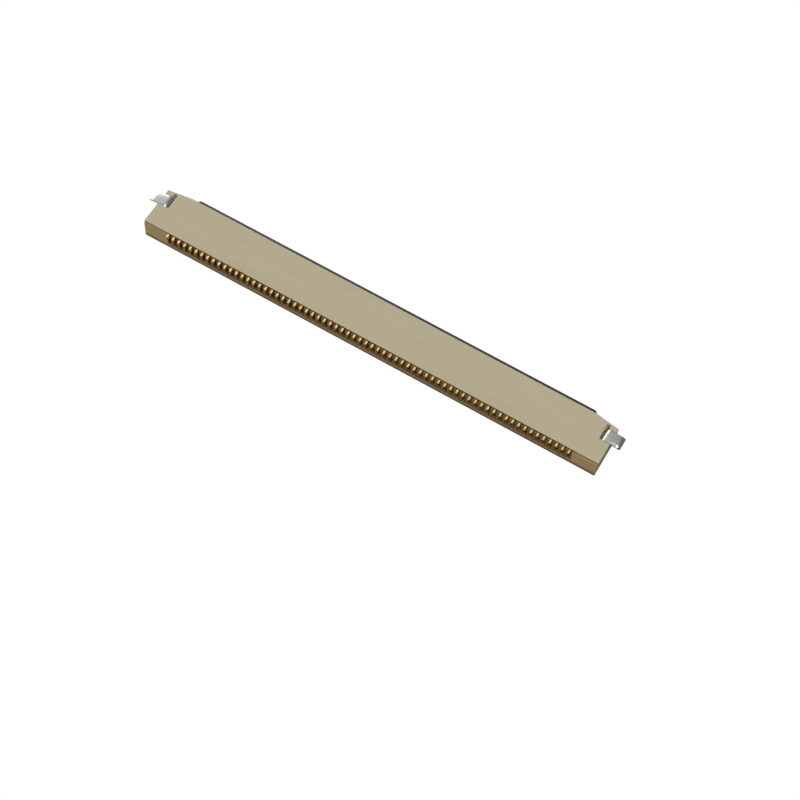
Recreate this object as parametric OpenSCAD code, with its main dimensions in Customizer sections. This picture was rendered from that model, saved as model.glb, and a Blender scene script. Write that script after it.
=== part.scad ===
// Flat flexible cable connector with a flip actuator, for mounting flat on a circuit board.
// The board plane is z = 0, the cable mouth faces -Y and the solder tails face +Y.
// Depths written as "from the rear" run from the housing's rear face towards the mouth.

/* [Contact row] */
// Number of contacts, an even number
contact_count = 68; // [10:2:100]
// Spacing from one contact to the next
pitch = 0.5; // [0.45:0.05:1]
// Thickness of the sheet that the contacts are stamped from
contact_t = 0.16; // [0.1:0.01:0.2]
// How far a solder tail stands out behind the housing
tail_out = 0.3; // [0.2:0.05:0.8]
// Height of a solder tail above the board
tail_t = 0.16; // [0.12:0.01:0.2]
// Chamfer under the end of a solder tail
tail_chamfer = 0.05; // [0.01:0.01:0.08]
// Size of the slant under a solder tail where it leaves the housing
tail_heel = 0.08; // [0.02:0.01:0.1]
// Width of a contact's spine, along the depth
spine_w = 0.3; // [0.2:0.02:0.36]
// Depth of the spine's back edge from the rear
spine_in = 0.25; // [0.1:0.05:0.3]
// Height of a contact's two beams
beam_t = 0.17; // [0.12:0.01:0.2]
// How far the contact crown stands up into the mouth
crown_up = 0.14; // [0.08:0.02:0.2]
// Radius of the contact crown
crown_r = 0.12; // [0.08:0.01:0.14]

/* [Housing] */
// Length from an end contact to the end of the housing
end_margin = 2.2; // [2.1:0.05:3]
// Depth of the housing
housing_d = 3.5; // [3.4:0.05:4.5]
// Height of the housing
housing_h = 1.9; // [1.75:0.05:2.2]
// Thickness of the skin under the contacts
skin_t = 0.12; // [0.08:0.01:0.16]
// Height of the mouth's floor
floor_t = 0.4; // [0.36:0.02:0.46]
// Height of the mouth
mouth_h = 0.4; // [0.36:0.02:0.46]
// Distance from an end contact to the edge of the cable
cable_edge = 0.5; // [0.4:0.05:0.55]
// Depth, from the rear, of the wall that stops the cable
stop_in = 0.8; // [0.7:0.05:0.9]
// Depth of the roof over the back of the contacts
roof_d = 1.1; // [0.95:0.05:1.15]
// How far the front edge falls back at the ends
front_fall = 0.28; // [0:0.02:0.3]
// Width of the end part where the front edge falls back
front_fall_w = 1.95; // [1:0.05:2]
// Size of the lead-in chamfer on the mouth's floor
lead_in = 0.16; // [0.05:0.01:0.2]
// Depth of the relief above the solder tails
relief_d = 0.07; // [0.02:0.01:0.09]
// Height of the relief above the solder tails
relief_h = 0.26; // [0.12:0.02:0.4]
// Size of the chamfer along the top rear edge
top_chamfer = 0.03; // [0.02:0.01:0.2]

/* [Actuator] */
// How far the closed actuator's lip stands out past the mouth
lip_out = 0.77; // [0.4:0.01:1]
// Distance from the rear to the actuator's shaft
shaft_in = 2; // [1.95:0.05:2.1]
// Radius of the actuator's shaft
shaft_r = 0.17; // [0.14:0.01:0.19]
// Height of the shaft's centre over the mouth
shaft_up = 0.2; // [0.19:0.01:0.24]
// Distance from an end contact to the end of the actuator's bar
bar_over = 0.2; // [0.16:0.02:0.24]
// Length of each pivot past the end of the bar
pivot_l = 0.5; // [0.3:0.05:0.55]
// Distance from the shaft's centre to the front of each window
window_reach = 0.65; // [0.6:0.01:0.75]
// Height of the lip's front face
lip_h = 0.36; // [0.2:0.02:0.5]
// How far the lip's corners are cut back
lip_corner = 0.2; // [0.1:0.05:0.5]

/* [Solder tabs] */
// Thickness of the solder tab's sheet
sheet_t = 0.18; // [0.12:0.01:0.22]
// Width of the solder tab's foot, along the depth
foot_w = 0.96; // [0.8:0.02:1.1]
// Distance from the rear to the foot's back edge
foot_in = 1.88; // [1.8:0.02:2]
// How far the flat of the foot stands out past the housing's end, before the tip turns up
foot_out = 0.39; // [0.1:0.01:0.8]
// Outer radius of the bend from plate to foot
bend_r = 0.4; // [0.25:0.01:0.42]
// Outer radius of the upturned tip
tip_r = 0.62; // [0.5:0.02:0.9]
// Angle that the tip turns up by
tip_turn = 40; // [20:1:45]
// Height of the plate inside the housing
plate_h = 1.25; // [1.1:0.05:1.3]
// Width of the plate inside the housing, along the depth
plate_w = 1.26; // [1.1:0.02:1.3]
// Depth of the notch in each end of the housing
notch_d = 0.88; // [0.7:0.02:0.9]
// Height of the notch in each end of the housing
notch_h = 0.75; // [0.65:0.05:0.8]

/* [Clearances] */
// Gap on each side of a contact in its slot
slot_gap = 0.07; // [0.02:0.01:0.08]
// Gap over a contact's upper beam in its slot
beam_gap = 0.03; // [0.02:0.01:0.05]
// Gap round the actuator's shaft
shaft_gap = 0.05; // [0.03:0.01:0.06]
// Gap on each side of a contact in the actuator's window
window_gap = 0.07; // [0.05:0.01:0.08]
// Gap between the actuator and the housing
actuator_gap = 0.08; // [0.05:0.01:0.1]
// Gap on each side of the cable in the mouth
cable_gap = 0.05; // [0.02:0.01:0.1]
// Gap round a solder tab in the housing
tab_gap = 0.03; // [0.02:0.01:0.05]
// Gap between the notch's inner wall and the solder tab's plate
plate_gap = 0.08; // [0.05:0.01:0.1]

/* [Hidden] */
$fn = 48;
// overrun that carries a cut past the face it opens
over = 0.5;

pair_count = contact_count / 2;
row_l = (contact_count - 1) * pitch;
housing_l = row_l + 2 * end_margin;
half_l = housing_l / 2;
overall_d = tail_out + housing_d + lip_out;
rear_y = overall_d / 2 - tail_out;
lip_in = housing_d + lip_out;

mouth_top = floor_t + mouth_h;
mouth_half = row_l / 2 + cable_edge + cable_gap;
slot_w = contact_t + 2 * slot_gap;
window_w = contact_t + 2 * window_gap;

shaft_z = mouth_top + shaft_up;
beam_z = shaft_z + shaft_r + shaft_gap;
slot_top = beam_z + beam_t + beam_gap;
hook_in = shaft_in + shaft_r + shaft_gap + beam_t;
hook_z = shaft_z + shaft_gap;
crown_in = shaft_in + shaft_r + shaft_r;
crown_z = floor_t + crown_up - crown_r;
nose_in = crown_in + 2 * crown_r;
channel_in = nose_in + 2 * slot_gap;

bar_half = row_l / 2 + bar_over;
bay_half = bar_half + actuator_gap;
pivot_half = bar_half + pivot_l;
bar_top = housing_h - actuator_gap;
bar_low = shaft_z - shaft_r;
window_in = shaft_in + window_reach;

wall_x = half_l - notch_d;
tab_x = wall_x + plate_gap;
foot_end = half_l + foot_out;
notch_back = foot_in - tab_gap;
notch_front = foot_in + foot_w + tab_gap;
plate_front = foot_in + plate_w;
slot_front = plate_front + tab_gap;

function contact_x(i) = (i - (contact_count - 1) / 2) * pitch;
function two_digits(n) = n < 10 ? str("0", n) : str(n);
function pair_name(k) = str("contacts_", two_digits(2 * k + 1), "_", two_digits(2 * k + 2));

// A box given by its x span, its depths from the rear and its heights.
module block(x0, x1, in0, in1, z0, z1) {
  translate([x0, rear_y - in1, z0])
    cube([x1 - x0, in1 - in0, z1 - z0]);
}

// Extrudes a section, drawn as depth from the rear and height, across the width w at x.
module across(x, w) {
  translate([x + w / 2, rear_y, 0])
    rotate([90, 0, -90])
      linear_extrude(height = w)
        children();
}

// Cylinder along X on the actuator's shaft line.
module shaft_line(r, half) {
  translate([-half, rear_y - shaft_in, shaft_z])
    rotate([0, 90, 0])
      cylinder(r = r, h = 2 * half);
}

// ---- housing ----

// Outline from above, with the front edge falling back at both ends.
module housing_plan() {
  front_y = rear_y - housing_d;
  polygon([
    [-half_l, rear_y],
    [half_l, rear_y],
    [half_l, front_y + front_fall],
    [half_l - front_fall_w, front_y],
    [-half_l + front_fall_w, front_y],
    [-half_l, front_y + front_fall]
  ]);
}

// Section of one contact's slot: a channel in the floor, a tall rear part and a channel in the roof.
module slot_section() {
  polygon([
    [-over, skin_t],
    [channel_in, skin_t],
    [channel_in, mouth_top - mouth_h / 2],
    [stop_in, mouth_top - mouth_h / 2],
    [stop_in, hook_z],
    [roof_d + over, hook_z],
    [roof_d + over, slot_top],
    [-over, slot_top]
  ]);
}

module mouth_cuts() {
  block(-mouth_half, mouth_half, stop_in, housing_d + over, floor_t, mouth_top);
  block(-bay_half, bay_half, roof_d, housing_d + over, floor_t, housing_h + over);
  across(0, 2 * mouth_half)
    polygon([
      [housing_d - lead_in, floor_t + 0.001],
      [housing_d + over, floor_t + 0.001],
      [housing_d + over, floor_t - lead_in],
      [housing_d, floor_t - lead_in]
    ]);
}

// Grooves, open at the top, that the actuator's pivots turn in.
module pivot_grooves() {
  groove_r = shaft_r + shaft_gap;
  groove_half = pivot_half + actuator_gap;
  shaft_line(groove_r, groove_half);
  block(
    -groove_half, groove_half,
    shaft_in - groove_r, shaft_in + groove_r,
    shaft_z, housing_h + over
  );
}

// Room for the right-hand solder tab: the notch, the wide way in and the plate's slot.
module tab_cuts() {
  slot_x1 = tab_x + sheet_t + tab_gap;
  block(wall_x, half_l + over, notch_back, notch_front, -over, notch_h);
  block(wall_x, slot_x1, notch_back, slot_front, -over, bend_r);
  block(tab_x - tab_gap, slot_x1, notch_back, slot_front, -over, plate_h);
}

module edge_cuts() {
  across(0, housing_l + 2 * over)
    polygon([[-over, -over], [relief_d, -over], [relief_d, relief_h], [-over, relief_h]]);
  across(0, housing_l + 2 * over)
    polygon([
      [-over, housing_h + over],
      [-over, housing_h - top_chamfer - over],
      [0, housing_h - top_chamfer],
      [top_chamfer, housing_h],
      [top_chamfer + over, housing_h + over]
    ]);
}

module housing() {
  color([0.72, 0.67, 0.55])
    difference() {
      linear_extrude(height = housing_h)
        housing_plan();
      mouth_cuts();
      for (i = [0 : contact_count - 1])
        across(contact_x(i), slot_w)
          slot_section();
      pivot_grooves();
      tab_cuts();
      mirror([1, 0, 0])
        tab_cuts();
      edge_cuts();
    }
}

// ---- actuator ----

// Section of the closed lever, with its nose over the cable and its thin lip in front.
module lever_section() {
  polygon([
    [shaft_in - shaft_r, shaft_z],
    [shaft_in, bar_low],
    [window_in, bar_low],
    [housing_d, bar_low + shaft_r / 2],
    [lip_in, shaft_z + shaft_r / 2],
    [lip_in, shaft_z + shaft_r / 2 + lip_h],
    [lip_in - lip_h, bar_top],
    [shaft_in, bar_top],
    [shaft_in - shaft_r, bar_top - shaft_r]
  ]);
}

// Cut that slants both ends of the lip.
module lip_corners() {
  for (side = [-1, 1])
    translate([side * bar_half, rear_y - lip_in, 0])
      linear_extrude(height = housing_h + over)
        polygon([
          [0, lip_corner],
          [-side * lip_corner, 0],
          [-side * lip_corner, -over],
          [side * over, -over],
          [side * over, lip_corner]
        ]);
}

module actuator() {
  color([0.09, 0.09, 0.1])
    union() {
      difference() {
        across(0, 2 * bar_half)
          lever_section();
        for (i = [0 : contact_count - 1])
          block(
            contact_x(i) - window_w / 2, contact_x(i) + window_w / 2,
            shaft_in - shaft_r - over, window_in,
            0, housing_h + over
          );
        lip_corners();
      }
      shaft_line(shaft_r, pivot_half);
    }
}

// ---- solder tabs ----

// Ring sector about the origin, from the angle a0 to a1.
module ring_sector(r_out, r_in, a0, a1) {
  reach = 2 * r_out;
  difference() {
    intersection() {
      circle(r = r_out);
      polygon([
        [0, 0],
        [reach * cos(a0), reach * sin(a0)],
        [reach * cos((a0 + a1) / 2), reach * sin((a0 + a1) / 2)],
        [reach * cos(a1), reach * sin(a1)]
      ]);
    }
    circle(r = r_in);
  }
}

// Section of the bent sheet: plate, bend, foot and upturned tip, drawn as x and height.
module tab_section() {
  translate([tab_x, bend_r])
    square([sheet_t, plate_h - tab_gap - bend_r]);
  translate([tab_x + bend_r, bend_r])
    ring_sector(bend_r, bend_r - sheet_t, 180, 270);
  translate([tab_x + bend_r, 0])
    square([foot_end - tab_x - bend_r, sheet_t]);
  translate([foot_end, tip_r])
    ring_sector(tip_r, tip_r - sheet_t, 270, 270 + tip_turn);
}

module solder_tab() {
  translate([0, rear_y - foot_in, 0])
    rotate([90, 0, 0])
      linear_extrude(height = foot_w)
        tab_section();
  block(tab_x, tab_x + sheet_t, foot_in, plate_front, bend_r, plate_h - tab_gap);
}

module solder_tab_right() {
  color([0.78, 0.78, 0.8])
    solder_tab();
}

module solder_tab_left() {
  color([0.78, 0.78, 0.8])
    mirror([1, 0, 0])
      solder_tab();
}

// ---- contacts ----

// Section of one stamped contact: tail, spine, lower beam with its crown, upper beam with its hook.
module contact_section() {
  base_top = skin_t + beam_t;
  polygon([
    [-tail_out + tail_chamfer, 0],
    [relief_d - beam_gap - tail_heel, 0],
    [relief_d - beam_gap, tail_heel],
    [relief_d - beam_gap, tail_t],
    [-tail_out, tail_t],
    [-tail_out, tail_chamfer]
  ]);
  translate([-tail_out / 2, tail_t / 2])
    square([tail_out / 2 + relief_d - beam_gap, base_top - tail_t / 2]);
  translate([-tail_out / 2, skin_t])
    square([tail_out / 2 + spine_in + spine_w, beam_t]);
  translate([spine_in, skin_t])
    square([spine_w, beam_z + beam_t - skin_t]);
  polygon([
    [spine_in, skin_t],
    [spine_in + spine_w, skin_t],
    [nose_in, crown_z - crown_r],
    [nose_in, crown_z],
    [crown_in, crown_z + crown_r / 2],
    [spine_in + spine_w, base_top + beam_gap]
  ]);
  translate([crown_in, crown_z])
    circle(r = crown_r);
  difference() {
    union() {
      translate([spine_in, beam_z])
        square([hook_in - spine_in, beam_t]);
      translate([shaft_in, hook_z])
        square([hook_in - shaft_in, beam_z + beam_t - hook_z]);
    }
    translate([shaft_in, shaft_z])
      circle(r = shaft_r + shaft_gap);
  }
}

module contact(i) {
  across(contact_x(i), contact_t)
    contact_section();
}

module contact_pair(k) {
  color([0.9, 0.76, 0.42])
    for (i = [2 * k, 2 * k + 1])
      contact(i);
}

housing();
actuator();
solder_tab_left();
solder_tab_right();
for (k = [0 : pair_count - 1])
  contact_pair(k);
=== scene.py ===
"""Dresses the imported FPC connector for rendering.

Pieces: the moulded housing, the flip actuator, two solder tabs and the row of contacts, on a stage.
"""

import math

import bpy
from bpy.props import FloatProperty, FloatVectorProperty, PointerProperty
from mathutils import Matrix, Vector


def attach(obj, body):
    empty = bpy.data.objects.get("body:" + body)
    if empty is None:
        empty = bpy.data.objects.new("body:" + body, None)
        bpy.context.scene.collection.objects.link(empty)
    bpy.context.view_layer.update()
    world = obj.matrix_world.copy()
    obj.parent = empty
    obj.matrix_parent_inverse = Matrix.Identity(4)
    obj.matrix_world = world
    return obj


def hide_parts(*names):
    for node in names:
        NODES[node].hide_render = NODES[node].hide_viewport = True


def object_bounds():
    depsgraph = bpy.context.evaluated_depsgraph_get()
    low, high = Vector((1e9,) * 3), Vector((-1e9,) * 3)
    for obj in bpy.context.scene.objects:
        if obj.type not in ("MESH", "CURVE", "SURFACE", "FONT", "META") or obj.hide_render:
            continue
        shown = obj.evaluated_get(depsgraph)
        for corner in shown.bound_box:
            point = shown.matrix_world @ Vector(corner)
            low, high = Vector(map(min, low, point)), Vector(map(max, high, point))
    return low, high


bl_info = {
    "name": "FPC connector",
    "version": (1, 0, 0),
    "blender": (4, 5, 0),
    "location": "3D View > Sidebar > Connector",
    "description": "Finishes the moulded, stamped and plated pieces of a front-flip FPC connector",
    "category": "Add Mesh",
}

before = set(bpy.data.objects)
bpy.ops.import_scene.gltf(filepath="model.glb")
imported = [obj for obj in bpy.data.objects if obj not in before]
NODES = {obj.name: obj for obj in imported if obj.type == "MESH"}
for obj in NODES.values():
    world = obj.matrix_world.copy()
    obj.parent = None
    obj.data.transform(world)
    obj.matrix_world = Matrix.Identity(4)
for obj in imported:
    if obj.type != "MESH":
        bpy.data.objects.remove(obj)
CAD_BOX = [list(corner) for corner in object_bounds()]
CONTACT_NODES = sorted(name for name in NODES if name.startswith("contacts_"))
MM = 0.001
TAIL_OUT = 0.3 * MM
REAR = CAD_BOX[1][1] - TAIL_OUT
TOP = CAD_BOX[1][2]

# How the painted shade and painted shadow on the housing's rear fade: the two ends of the fade and
# the strength at each.
SLOT_DEPTH_FADE = (REAR - 0.6 * MM, REAR - 0.3 * MM, 0.0, 1.0)
ROW_END_FADE = (16.9 * MM, 17.0 * MM, 1.0, 0.0)
UNDERSIDE_FADE = (0.01 * MM, 0.04 * MM, 0.0, 1.0)
SLOT_TOP_FADE = (1.4 * MM, 1.5 * MM, 1.0, 0.0)
REAR_SKIN_FADE = (REAR - 0.1 * MM, REAR - 0.05 * MM, 0.0, 1.0)
TOP_EDGE_FADE = (TOP - 0.5 * MM, TOP - 0.1 * MM, 0.0, 1.0)
RELIEF_FADE = (0.24 * MM, 0.3 * MM, 0.6, 0.0)

EVEN = (1.0, 1.0, 1.0)
WHITE = (1.0, 1.0, 1.0)
AMBER = (1.0, 0.62, 0.08)

# Each lamp's place, width and colour. Its power is the stage setting of the same name.
LAMPS = (
    ("key_left", (-0.22, -0.113, -0.045), 0.36, WHITE),
    ("key_below", (0.08, 0.03, -0.24), 0.12, WHITE),
    ("warm_behind", (-0.15, 0.36, 0.105), 0.3, AMBER),
    ("key_above", (-0.09, -0.08, 0.2), 0.16, WHITE),
)
# Brightness of what polished pieces mirror, from the -X side (0) to the +X side (1).
MIRRORED_LEVELS = ((0.25, 1.0), (0.32, 0.9), (0.46, 0.6), (0.68, 0.26), (1.0, 0.2))
CAMERA_PLACE = (0.028876, 0.057305, -0.110465)
CAMERA_DEGREES = (-152.542, 2.866, -30.295)
FLOOR_WIDTH = 4.0


# ---------------------------------------------------------------- sizes and colours


class HousingSettings(bpy.types.PropertyGroup):
    """Finish of the beige moulding."""

    edge_round: FloatProperty(
        name="Edge round",
        description="Radius that moulding leaves on every sharp edge",
        default=0.018 * MM, min=0.001 * MM, max=0.04 * MM, precision=6, unit="LENGTH",
    )
    plastic: FloatVectorProperty(
        name="Plastic",
        description="Colour of the heat-resistant moulding plastic",
        default=(0.47, 0.408, 0.268), size=3, min=0.0, max=1.0, subtype="COLOR",
    )
    flow: FloatVectorProperty(
        name="Flow streaks",
        description="Paler colour of the streaks that the melt leaves along the moulding",
        default=(0.50, 0.440, 0.300), size=3, min=0.0, max=1.0, subtype="COLOR",
    )
    # Painted shade and painted gold reflection for the slots and ribs between the contacts, not a
    # colour of the plastic.
    painted_rib_shade: FloatVectorProperty(
        name="Thin ribs",
        description="Deeper amber tint of the thin ribs between the gold contacts",
        default=(0.22, 0.145, 0.05), size=3, min=0.0, max=1.0, subtype="COLOR",
    )
    # Painted shadow on the rear wall along its top edge and in its relief.
    painted_rear_shadow: FloatVectorProperty(
        name="Brim",
        description="Darker tint of the rear wall along its top edge and its relief",
        default=(0.085, 0.064, 0.024), size=3, min=0.0, max=1.0, subtype="COLOR",
    )
    roughness: FloatProperty(
        name="Roughness", description="How dull the mould surface is",
        default=0.48, min=0.0, max=1.0, subtype="FACTOR",
    )


class ActuatorSettings(bpy.types.PropertyGroup):
    """Finish of the black flip actuator."""

    edge_round: FloatProperty(
        name="Edge round",
        description="Radius on the actuator's sharp edges",
        default=0.015 * MM, min=0.001 * MM, max=0.03 * MM, precision=6, unit="LENGTH",
    )
    plastic: FloatVectorProperty(
        name="Plastic",
        description="Colour of the black moulding plastic",
        default=(0.013, 0.0125, 0.012), size=3, min=0.0, max=1.0, subtype="COLOR",
    )
    roughness: FloatProperty(
        name="Roughness", description="How dull the mould surface is",
        default=0.42, min=0.0, max=1.0, subtype="FACTOR",
    )


class TabSettings(bpy.types.PropertyGroup):
    """Finish of the two solder tabs."""

    edge_round: FloatProperty(
        name="Edge round",
        description="Roll-over radius on the stamped edges",
        default=0.012 * MM, min=0.001 * MM, max=0.05 * MM, precision=6, unit="LENGTH",
    )
    tin: FloatVectorProperty(
        name="Tin",
        description="Colour of the matt tin plating",
        default=(0.53, 0.53, 0.525), size=3, min=0.0, max=1.0, subtype="COLOR",
    )
    roughness: FloatProperty(
        name="Roughness", description="How matt the tin plating is",
        default=0.2, min=0.0, max=1.0, subtype="FACTOR",
    )


class ContactSettings(bpy.types.PropertyGroup):
    """Finish of the gold-plated contacts."""

    edge_round: FloatProperty(
        name="Edge round",
        description="Roll-over radius on the stamped edges",
        default=0.012 * MM, min=0.001 * MM, max=0.05 * MM, precision=6, unit="LENGTH",
    )
    gold: FloatVectorProperty(
        name="Gold",
        description="Colour of the gold flash",
        default=(0.92, 0.70, 0.32), size=3, min=0.0, max=1.0, subtype="COLOR",
    )
    roughness: FloatProperty(
        name="Roughness", description="How matt the plating is",
        default=0.28, min=0.0, max=1.0, subtype="FACTOR",
    )


class StageSettings(bpy.types.PropertyGroup):
    """Floor, lamps and camera."""

    floor_colour: FloatVectorProperty(
        name="Floor",
        description="Colour of the plain floor",
        default=(0.86, 0.86, 0.86), size=3, min=0.0, max=1.0, subtype="COLOR",
    )
    floor_gap: FloatProperty(
        name="Floor gap",
        description="How far the floor lies under the solder pads",
        default=0.01 * MM, min=0.0, max=0.1 * MM, precision=6, unit="LENGTH",
    )
    ambient: FloatProperty(
        name="Ambient", description="Level of the soft light from all round",
        default=0.16, min=0.0, max=2.0,
    )
    key_left: FloatProperty(
        name="Key left", description="Power of the wide soft lamp at the left end",
        default=0.7, min=0.0, max=5.0, unit="POWER",
    )
    key_below: FloatProperty(
        name="Key below", description="Power of the soft lamp under the glass table",
        default=0.385, min=0.0, max=2.0, unit="POWER",
    )
    warm_behind: FloatProperty(
        name="Warm behind", description="Power of the warm lamp level with the rear wall",
        default=0.52, min=0.0, max=2.0, unit="POWER",
    )
    key_above: FloatProperty(
        name="Key above", description="Power of the large soft lamp over the object",
        default=0.24, min=0.0, max=2.0, unit="POWER",
    )
    lens: FloatProperty(
        name="Lens", description="Focal length of the camera in millimetres",
        default=79.565, min=10.0, max=300.0,
    )


# ---------------------------------------------------------------- shader nodes


def put(tree, kind, values=None, **options):
    """Adds one shader node, sets its options and its unlinked sockets, and returns it."""
    made = tree.nodes.new(kind)
    for key, value in options.items():
        setattr(made, key, value)
    for key, value in (values or {}).items():
        made.inputs[key].default_value = value
    return made


def wire(tree, source, target):
    """Links an output socket to an input socket."""
    tree.links.new(source, target)


def fresh_material(name):
    """Makes an empty node material with its output and one Principled shader."""
    material = bpy.data.materials.new(name)
    material.use_nodes = True
    tree = material.node_tree
    tree.nodes.clear()
    output = put(tree, "ShaderNodeOutputMaterial")
    shader = put(tree, "ShaderNodeBsdfPrincipled")
    wire(tree, shader.outputs["BSDF"], output.inputs["Surface"])
    return material, tree, shader


def object_pattern(tree, stretch):
    """Object coordinates stretched along each axis, for a pattern that stays on the piece."""
    place = put(tree, "ShaderNodeTexCoord")
    scaled = put(tree, "ShaderNodeMapping", {"Scale": stretch})
    wire(tree, place.outputs["Object"], scaled.inputs["Vector"])
    return scaled.outputs["Vector"]


def noise(tree, vector, scale, detail=2.0, roughness=0.5):
    """One noise texture on the given coordinates."""
    made = put(
        tree, "ShaderNodeTexNoise", {"Scale": scale, "Detail": detail, "Roughness": roughness}
    )
    wire(tree, vector, made.inputs["Vector"])
    return made.outputs["Fac"]


def spread(tree, value, low, high, to_low, to_high):
    """Maps one range of a value to another, with the ends held."""
    made = put(
        tree,
        "ShaderNodeMapRange",
        {"From Min": low, "From Max": high, "To Min": to_low, "To Max": to_high},
    )
    wire(tree, value, made.inputs["Value"])
    return made.outputs["Result"]


def multiply(tree, *values):
    """Multiplies any number of value sockets."""
    result = values[0]
    for value in values[1:]:
        made = put(tree, "ShaderNodeMath", operation="MULTIPLY")
        wire(tree, result, made.inputs[0])
        wire(tree, value, made.inputs[1])
        result = made.outputs["Value"]
    return result


def place_axes(tree):
    """Object coordinates as three values, with the distance from the middle in place of X."""
    place = put(tree, "ShaderNodeTexCoord")
    axes = put(tree, "ShaderNodeSeparateXYZ")
    wire(tree, place.outputs["Object"], axes.inputs["Vector"])
    side = put(tree, "ShaderNodeMath", operation="ABSOLUTE")
    wire(tree, axes.outputs["X"], side.inputs[0])
    return side.outputs["Value"], axes.outputs["Y"], axes.outputs["Z"]


def blend_colours(tree, factor, first, second):
    """Mixes two colours, each a colour or a socket, by a factor socket."""
    made = put(tree, "ShaderNodeMix", data_type="RGBA")
    wire(tree, factor, made.inputs["Factor"])
    for socket, colour in (("A", first), ("B", second)):
        target = [s for s in made.inputs if s.name == socket and s.type == "RGBA"][0]
        if isinstance(colour, bpy.types.NodeSocket):
            wire(tree, colour, target)
        else:
            target.default_value = (*colour, 1.0)
    return [s for s in made.outputs if s.type == "RGBA"][0]


def bump(tree, shader, height, strength, distance):
    """Feeds a height pattern to the shader's normal."""
    made = put(tree, "ShaderNodeBump", {"Strength": strength, "Distance": distance})
    wire(tree, height, made.inputs["Height"])
    wire(tree, made.outputs["Normal"], shader.inputs["Normal"])


# ---------------------------------------------------------------- materials


def mould_grain(tree, shader, scale, roughness, swing):
    """Fine grain of a spark-eroded mould, in the roughness and in the surface."""
    grain = noise(tree, object_pattern(tree, EVEN), scale, 2.0, 0.6)
    levels = spread(tree, grain, 0.3, 0.7, roughness - swing, roughness + swing)
    wire(tree, levels, shader.inputs["Roughness"])
    bump(tree, shader, grain, 0.35, 0.002 * MM)


def plating(tree, shader, bright, deep, cloud, low, high):
    """Cloudy plating on bare metal: patches that differ a little in colour and in gloss."""
    shader.inputs["Metallic"].default_value = 1.0
    patches = noise(tree, object_pattern(tree, EVEN), *cloud)
    share = spread(tree, patches, 0.3, 0.7, 0.0, 1.0)
    wire(tree, blend_colours(tree, share, bright, deep), shader.inputs["Base Color"])
    wire(tree, spread(tree, patches, 0.3, 0.7, low, high), shader.inputs["Roughness"])


def rolling_lines(tree, shader, stretch, scale):
    """Faint lines that rolling leaves along the sheet."""
    lines = noise(tree, object_pattern(tree, stretch), scale, 2.0, 0.5)
    bump(tree, shader, lines, 0.25, 0.001 * MM)


def housing_plastic(settings):
    """Beige liquid-crystal polymer: flow streaks along the moulding, a fine spark-eroded grain,
    painted shade and painted gold reflection over the contact slots and ribs, and painted shadow
    along the rear wall's top edge and relief.
    """
    material, tree, shader = fresh_material("housing_plastic")
    streaks = noise(tree, object_pattern(tree, (0.12, 1.0, 1.0)), 900.0, 4.0, 0.6)
    streaks = spread(tree, streaks, 0.35, 0.75, 0.0, 1.0)
    colour = blend_colours(tree, streaks, settings.plastic, settings.flow)
    side, depth, height = place_axes(tree)
    above_board = spread(tree, height, *UNDERSIDE_FADE)
    # Mask of the painted shade and painted gold reflection: darker amber over the slots and ribs of
    # the contact row.
    ribs = multiply(
        tree,
        spread(tree, depth, *SLOT_DEPTH_FADE),
        spread(tree, side, *ROW_END_FADE),
        above_board,
        spread(tree, height, *SLOT_TOP_FADE),
    )
    colour = blend_colours(tree, ribs, colour, settings.painted_rib_shade)
    # Painted shadow along the rear wall's top edge.
    skin = spread(tree, depth, *REAR_SKIN_FADE)
    top_edge = multiply(tree, skin, spread(tree, height, *TOP_EDGE_FADE))
    colour = blend_colours(tree, top_edge, colour, settings.painted_rear_shadow)
    # Painted shadow in the relief along the rear wall's lower edge.
    relief = multiply(tree, skin, above_board, spread(tree, height, *RELIEF_FADE))
    colour = blend_colours(tree, relief, colour, settings.painted_rear_shadow)
    wire(tree, colour, shader.inputs["Base Color"])
    mould_grain(tree, shader, 22000.0, settings.roughness, 0.06)
    return material


def actuator_plastic(settings):
    """Black glass-filled plastic with a fine grain and faint grey fibre streaks."""
    material, tree, shader = fresh_material("actuator_plastic")
    streaks = noise(tree, object_pattern(tree, (0.1, 1.0, 1.0)), 5000.0, 3.0, 0.6)
    streaks = spread(tree, streaks, 0.5, 0.8, 0.0, 1.0)
    pale = tuple(min(1.0, 2.2 * c) for c in settings.plastic)
    wire(tree, blend_colours(tree, streaks, settings.plastic, pale), shader.inputs["Base Color"])
    mould_grain(tree, shader, 26000.0, settings.roughness, 0.07)
    return material


def tab_metal(settings):
    """Tin on rolled copper strip: faint rolling lines and cloudy tin grain."""
    material, tree, shader = fresh_material("tab_metal")
    dull = tuple(0.86 * c for c in settings.tin)
    low, high = settings.roughness - 0.05, settings.roughness + 0.09
    plating(tree, shader, settings.tin, dull, (3500.0, 4.0, 0.6), low, high)
    rolling_lines(tree, shader, (0.05, 1.0, 0.05), 30000.0)
    return material


def contact_metal(settings):
    """Gold flash over nickel on stamped phosphor bronze."""
    material, tree, shader = fresh_material("contact_metal")
    deep = (settings.gold[0] * 0.94, settings.gold[1] * 0.9, settings.gold[2] * 0.8)
    low, high = settings.roughness - 0.06, settings.roughness + 0.08
    plating(tree, shader, settings.gold, deep, (4200.0, 3.0, 0.6), low, high)
    rolling_lines(tree, shader, (1.0, 0.08, 0.08), 36000.0)
    return material


# ---------------------------------------------------------------- shapes


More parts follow.
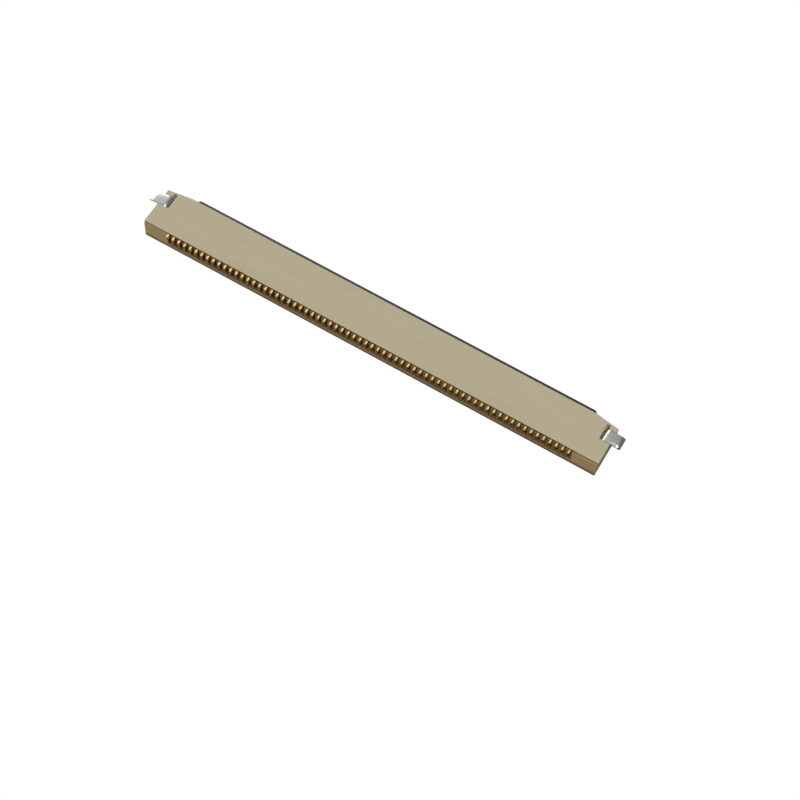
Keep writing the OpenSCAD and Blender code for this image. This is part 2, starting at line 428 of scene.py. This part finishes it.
def copy_node(node, name):
    """Copies a CAD node's mesh into a new piece.

    The copy's loose triangles are joined, and its flat faces lose their diagonals.
    """
    bpy.ops.object.select_all(action="DESELECT")
    piece = bpy.data.objects.new(name, NODES[node].data.copy())
    piece.data.name = name
    piece.data.materials.clear()
    bpy.context.scene.collection.objects.link(piece)
    piece.select_set(True)
    bpy.context.view_layer.objects.active = piece
    bpy.ops.object.mode_set(mode="EDIT")
    bpy.ops.mesh.select_all(action="SELECT")
    bpy.ops.mesh.remove_doubles(threshold=0.0002 * MM)
    bpy.ops.mesh.dissolve_limited(angle_limit=math.radians(0.5))
    bpy.ops.object.mode_set(mode="OBJECT")
    if not piece.data.polygons:
        raise RuntimeError(f"{node} has no faces")
    return piece


def round_edges(piece, radius, segments, angle):
    """Rounds the sharp edges, then shades the round edges smooth and the flat faces flat."""
    rounding = piece.modifiers.new("edge round", "BEVEL")
    rounding.width = radius
    rounding.segments = segments
    rounding.limit_method = "ANGLE"
    rounding.angle_limit = math.radians(angle)
    rounding.use_clamp_overlap = True
    rounding.miter_outer = "MITER_ARC"
    rounding.harden_normals = False
    bpy.ops.object.modifier_apply(modifier=rounding.name)
    bpy.ops.object.shade_smooth_by_angle(angle=math.radians(40))
    normals = piece.modifiers.new("face weights", "WEIGHTED_NORMAL")
    normals.keep_sharp = True
    bpy.ops.object.modifier_apply(modifier=normals.name)


def dress(piece, material, node, body):
    """Gives the piece its material and its moving body, and hides the CAD node it was copied from."""
    piece.data.materials.append(material)
    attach(piece, body)
    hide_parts(node)


class CONNECTOR_OT_housing(bpy.types.Operator):
    """Finishes the beige moulded housing"""

    bl_idname = "connector.housing"
    bl_label = "Housing"
    bl_options = {"REGISTER", "UNDO"}

    def execute(self, context):
        settings = context.scene.connector_housing
        piece = copy_node("housing", "moulded_housing")
        round_edges(piece, settings.edge_round, 2, 35)
        dress(piece, housing_plastic(settings), "housing", "base")
        return {"FINISHED"}


class CONNECTOR_OT_actuator(bpy.types.Operator):
    """Finishes the black flip actuator"""

    bl_idname = "connector.actuator"
    bl_label = "Flip actuator"
    bl_options = {"REGISTER", "UNDO"}

    def execute(self, context):
        settings = context.scene.connector_actuator
        piece = copy_node("actuator", "flip_actuator")
        round_edges(piece, settings.edge_round, 2, 35)
        dress(piece, actuator_plastic(settings), "actuator", "lever")
        return {"FINISHED"}


class CONNECTOR_OT_tabs(bpy.types.Operator):
    """Finishes the two tinned solder tabs"""

    bl_idname = "connector.tabs"
    bl_label = "Solder tabs"
    bl_options = {"REGISTER", "UNDO"}

    def execute(self, context):
        settings = context.scene.connector_tabs
        material = tab_metal(settings)
        for side in ("left", "right"):
            piece = copy_node(f"solder_tab_{side}", f"tinned_tab_{side}")
            round_edges(piece, settings.edge_round, 2, 50)
            dress(piece, material, f"solder_tab_{side}", "base")
        return {"FINISHED"}


class CONNECTOR_OT_contacts(bpy.types.Operator):
    """Finishes the row of gold-plated contacts"""

    bl_idname = "connector.contacts"
    bl_label = "Contacts"
    bl_options = {"REGISTER", "UNDO"}

    def execute(self, context):
        settings = context.scene.connector_contacts
        material = contact_metal(settings)
        for node in CONTACT_NODES:
            piece = copy_node(node, "gold_" + node)
            round_edges(piece, settings.edge_round, 1, 50)
            dress(piece, material, node, "base")
        return {"FINISHED"}


# ---------------------------------------------------------------- stage


def floor_material(colour):
    """Pale floor seen from above; from below it is clear, as a glass table is."""
    material, tree, shader = fresh_material("pale_floor")
    shader.inputs["Base Color"].default_value = (*colour, 1.0)
    shader.inputs["Roughness"].default_value = 0.9
    shader.inputs["Specular IOR Level"].default_value = 0.2
    clear = put(tree, "ShaderNodeBsdfTransparent")
    rays = put(tree, "ShaderNodeLightPath")
    side = put(tree, "ShaderNodeNewGeometry")
    front = put(tree, "ShaderNodeMath", operation="SUBTRACT")
    front.inputs[0].default_value = 1.0
    wire(tree, side.outputs["Backfacing"], front.inputs[1])
    shown = put(tree, "ShaderNodeMath", operation="MULTIPLY")
    wire(tree, rays.outputs["Is Camera Ray"], shown.inputs[0])
    wire(tree, front.outputs["Value"], shown.inputs[1])
    mixed = put(tree, "ShaderNodeMixShader")
    wire(tree, shown.outputs["Value"], mixed.inputs["Fac"])
    wire(tree, clear.outputs["BSDF"], mixed.inputs[1])
    wire(tree, shader.outputs["BSDF"], mixed.inputs[2])
    wire(tree, mixed.outputs["Shader"], tree.nodes["Material Output"].inputs["Surface"])
    return material


def studio_world(ambient):
    """Light from all round.

    The camera sees white, reflections see white shading to grey towards +X and upwards,
    and everything else gets one plain level.
    """
    world = bpy.data.worlds.new("studio")
    world.use_nodes = True
    tree = world.node_tree
    tree.nodes.clear()
    output = put(tree, "ShaderNodeOutputWorld")
    rays = put(tree, "ShaderNodeLightPath")
    place = put(tree, "ShaderNodeTexCoord")
    axes = put(tree, "ShaderNodeSeparateXYZ")
    wire(tree, place.outputs["Generated"], axes.inputs["Vector"])
    across = spread(tree, axes.outputs["X"], -1.0, 1.0, 0.0, 1.0)
    ramp = put(tree, "ShaderNodeValToRGB")
    wire(tree, across, ramp.inputs["Fac"])
    stops = ramp.color_ramp.elements
    first, *between, last = MIRRORED_LEVELS
    stops[0].position, stops[1].position = first[0], last[0]
    for position, _ in between:
        stops.new(position)
    for stop, (_, level) in zip(stops, MIRRORED_LEVELS):
        stop.color = (level, level, level, 1.0)
    seen = put(tree, "ShaderNodeBackground", {"Color": (*WHITE, 1.0), "Strength": 1.0})
    dim = spread(tree, axes.outputs["Z"], -0.2, 0.4, 1.0, 0.3)
    gloss = put(tree, "ShaderNodeBackground")
    wire(tree, dim, gloss.inputs["Strength"])
    wire(tree, ramp.outputs["Color"], gloss.inputs["Color"])
    plain = put(tree, "ShaderNodeBackground", {"Color": (*WHITE, 1.0), "Strength": ambient})
    bright = put(tree, "ShaderNodeMath", operation="MAXIMUM")
    wire(tree, rays.outputs["Is Glossy Ray"], bright.inputs[0])
    wire(tree, rays.outputs["Is Transmission Ray"], bright.inputs[1])
    first = put(tree, "ShaderNodeMixShader")
    wire(tree, bright.outputs["Value"], first.inputs["Fac"])
    wire(tree, plain.outputs["Background"], first.inputs[1])
    wire(tree, gloss.outputs["Background"], first.inputs[2])
    second = put(tree, "ShaderNodeMixShader")
    wire(tree, rays.outputs["Is Camera Ray"], second.inputs["Fac"])
    wire(tree, first.outputs["Shader"], second.inputs[1])
    wire(tree, seen.outputs["Background"], second.inputs[2])
    wire(tree, second.outputs["Shader"], output.inputs["Surface"])
    bpy.context.scene.world = world


def soft_lamp(name, place, size, power, colour):
    """Adds a square area lamp that faces the middle of the object."""
    lamp = bpy.data.lights.new(name, "AREA")
    lamp.shape = "SQUARE"
    lamp.size = size
    lamp.energy = power
    lamp.color = colour
    holder = bpy.data.objects.new(name, lamp)
    holder.location = place
    holder.rotation_euler = (-Vector(place)).to_track_quat("-Z", "Y").to_euler()
    bpy.context.scene.collection.objects.link(holder)


class CONNECTOR_OT_stage(bpy.types.Operator):
    """Lays the floor and sets the lamps and the camera"""

    bl_idname = "connector.stage"
    bl_label = "Stage"
    bl_options = {"REGISTER", "UNDO"}

    def execute(self, context):
        settings = context.scene.connector_stage
        bpy.ops.object.select_all(action="DESELECT")
        bpy.ops.mesh.primitive_plane_add(size=FLOOR_WIDTH, location=(0, 0, -settings.floor_gap))
        floor = context.active_object
        floor.name = "floor"
        bpy.ops.object.transform_apply(location=True, rotation=False, scale=False)
        floor.data.materials.append(floor_material(settings.floor_colour))
        studio_world(settings.ambient)
        for name, place, size, colour in LAMPS:
            soft_lamp(name, place, size, getattr(settings, name), colour)
        camera = bpy.data.cameras.new("camera")
        camera.lens = settings.lens
        camera.sensor_width = 36.0
        camera.clip_start = 0.001
        camera.clip_end = 10.0
        holder = bpy.data.objects.new("camera", camera)
        holder.location = CAMERA_PLACE
        holder.rotation_euler = [math.radians(angle) for angle in CAMERA_DEGREES]
        context.scene.collection.objects.link(holder)
        context.scene.camera = holder
        context.scene.view_settings.view_transform = "Standard"
        return {"FINISHED"}


class CONNECTOR_PT_panel(bpy.types.Panel):
    """Lists the connector's pieces with their sizes and colours"""

    bl_idname = "CONNECTOR_PT_panel"
    bl_label = "FPC connector"
    bl_space_type = "VIEW_3D"
    bl_region_type = "UI"
    bl_category = "Connector"

    def draw(self, context):
        for operator, settings in PIECES:
            box = self.layout.box()
            box.operator(operator.bl_idname)
            group = getattr(context.scene, settings)
            for key in group.__annotations__:
                box.prop(group, key)


PIECES = (
    (CONNECTOR_OT_housing, "connector_housing"),
    (CONNECTOR_OT_actuator, "connector_actuator"),
    (CONNECTOR_OT_tabs, "connector_tabs"),
    (CONNECTOR_OT_contacts, "connector_contacts"),
    (CONNECTOR_OT_stage, "connector_stage"),
)
GROUPS = (HousingSettings, ActuatorSettings, TabSettings, ContactSettings, StageSettings)


def register():
    """Registers the settings, the operators and the panel."""
    for group, (_, name) in zip(GROUPS, PIECES):
        bpy.utils.register_class(group)
        setattr(bpy.types.Scene, name, PointerProperty(type=group))
    for operator, _ in PIECES:
        bpy.utils.register_class(operator)
    bpy.utils.register_class(CONNECTOR_PT_panel)


def unregister():
    """Takes them away again, in reverse order."""
    bpy.utils.unregister_class(CONNECTOR_PT_panel)
    for operator, _ in reversed(PIECES):
        bpy.utils.unregister_class(operator)
    for group, (_, name) in zip(GROUPS, PIECES):
        delattr(bpy.types.Scene, name)
        bpy.utils.unregister_class(group)


def main():
    register()
    bpy.ops.connector.housing()
    bpy.ops.connector.actuator()
    bpy.ops.connector.tabs()
    bpy.ops.connector.contacts()
    bpy.ops.connector.stage()


if __name__ == "__main__":
    main()
